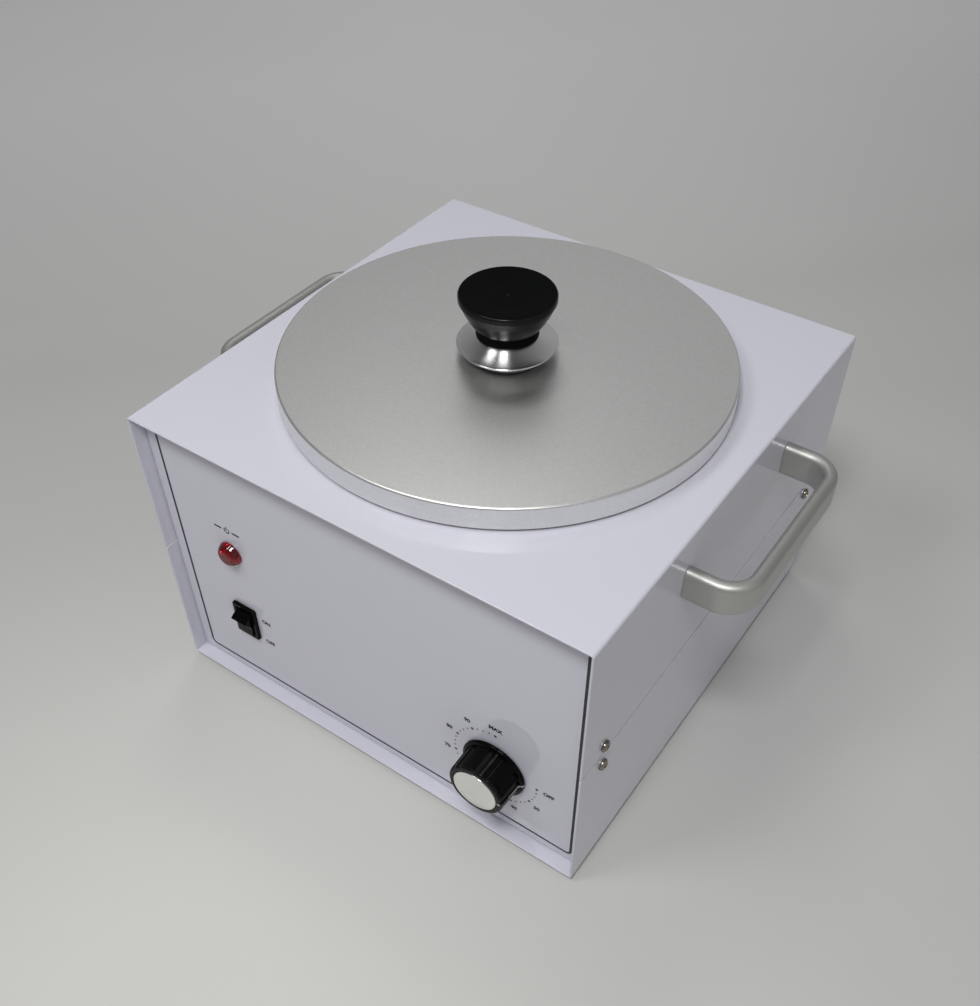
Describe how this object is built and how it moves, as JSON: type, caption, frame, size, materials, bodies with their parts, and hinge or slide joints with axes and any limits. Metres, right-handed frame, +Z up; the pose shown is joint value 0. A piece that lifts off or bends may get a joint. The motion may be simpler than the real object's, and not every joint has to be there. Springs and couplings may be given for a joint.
{
  "type": "wax warmer",
  "caption": "Countertop wax warmer: square sheet-steel case with a heated round well, lift-out pot, flat lid with knob, side handles, rocker switch, pilot lamp and thermostat dial.",
  "frame": {"origin": "centre of the bounding box's bottom, on the surface the feet stand on", "axes": "+Z up, front panel faces -Y, +X to the right as seen from the front"},
  "size_m": [0.31, 0.2628, 0.2135],
  "materials": {
    "white_coat": "glossy pale grey-white powder coat on sheet steel",
    "aluminium": "satin, lightly spun or brushed",
    "bright_steel": "polished",
    "zinc": "zinc plated",
    "gloss_black": "moulded, glossy",
    "satin_black": "moulded phenolic, satin",
    "black_moulding": "moulded, matt",
    "red_lens": "translucent red, glossy",
    "rubber": "matt black",
    "ceramic": "fired, matt",
    "glass_wool": "needled glass fibre mat",
    "heater_steel": "steel sheath over mica, heat tinted",
    "copper": "drawn copper tube",
    "brass": "turned",
    "lead_brown": "heat resisting sleeve, brown",
    "lead_blue": "heat resisting sleeve, blue",
    "lead_green": "heat resisting sleeve, green"
  },
  "bodies": {
    "root": {"bulb_clip": "zinc", "case_screw_left_front_lower": "zinc", "case_screw_left_front_upper": "zinc", "case_screw_left_rear_lower": "zinc", "case_screw_left_rear_upper": "zinc", "case_screw_right_front_lower": "zinc", "case_screw_right_front_upper": "zinc", "case_screw_right_rear_lower": "zinc", "case_screw_right_rear_upper": "zinc", "earth_stud": "brass", "foot_front_left": "rubber", "foot_front_right": "rubber", "foot_rear_left": "rubber", "foot_rear_right": "rubber", "front_panel": "white_coat", "handle_left": "aluminium", "handle_right": "aluminium", "handle_screw_left_front": "zinc", "handle_screw_left_rear": "zinc", "handle_screw_right_front": "zinc", "handle_screw_right_rear": "zinc", "heater_band": "heater_steel", "heater_clamp_bolt": "zinc", "heater_clamp_nut": "zinc", "heating_well": "aluminium", "inlet_body": "black_moulding", "inlet_screw_left": "zinc", "inlet_screw_right": "zinc", "insulation_jacket": "glass_wool", "lamp_body": "black_moulding", "lamp_lens": "red_lens", "lamp_nut": "black_moulding", "lead_earth": "lead_green", "lead_heater_live": "lead_brown", "lead_heater_neutral": "lead_blue", "lead_lamp_live": "lead_brown", "lead_lamp_neutral": "lead_blue", "lead_live": "lead_brown", "lead_switched": "lead_brown", "lead_to_cutout": "lead_brown", "lower_cover": "white_coat", "rear_panel": "white_coat", "rocker_housing": "gloss_black", "thermal_cutout": "ceramic", "thermostat_body": "ceramic", "thermostat_bracket": "zinc", "thermostat_bulb": "copper", "thermostat_capillary": "copper", "thermostat_screw_left": "zinc", "thermostat_screw_right": "zinc", "upper_cover": "white_coat"},
    "pot": {"wax_pot": "aluminium"},
    "lid_assembly": {"lid": "aluminium", "lid_escutcheon": "bright_steel", "lid_knob": "satin_black", "lid_screw": "zinc"},
    "dial": {"thermostat_knob": "gloss_black", "knob_face_disc": "aluminium", "thermostat_shaft": "zinc"},
    "rocker": {"rocker_paddle": "gloss_black"}
  },
  "joints": [
    {"name": "pot_lift", "type": "slide", "parent": "root", "child": "pot", "axis": [0, 0, 1], "range_m": [0, 0.125]},
    {"name": "lid_lift", "type": "slide", "parent": "pot", "child": "lid_assembly", "axis": [0, 0, 1], "range_m": [0, 0.1]},
    {"name": "dial_turn", "type": "hinge", "parent": "root", "child": "dial", "pos_m": [0.076, -0.1143, 0.0484], "axis": [0, 1, 0], "range_deg": [0, 270]},
    {"name": "rocker_press", "type": "hinge", "parent": "root", "child": "rocker", "pos_m": [-0.081, -0.1123, 0.0515], "axis": [-1, 0, 0], "range_deg": [0, 36]}
  ]
}
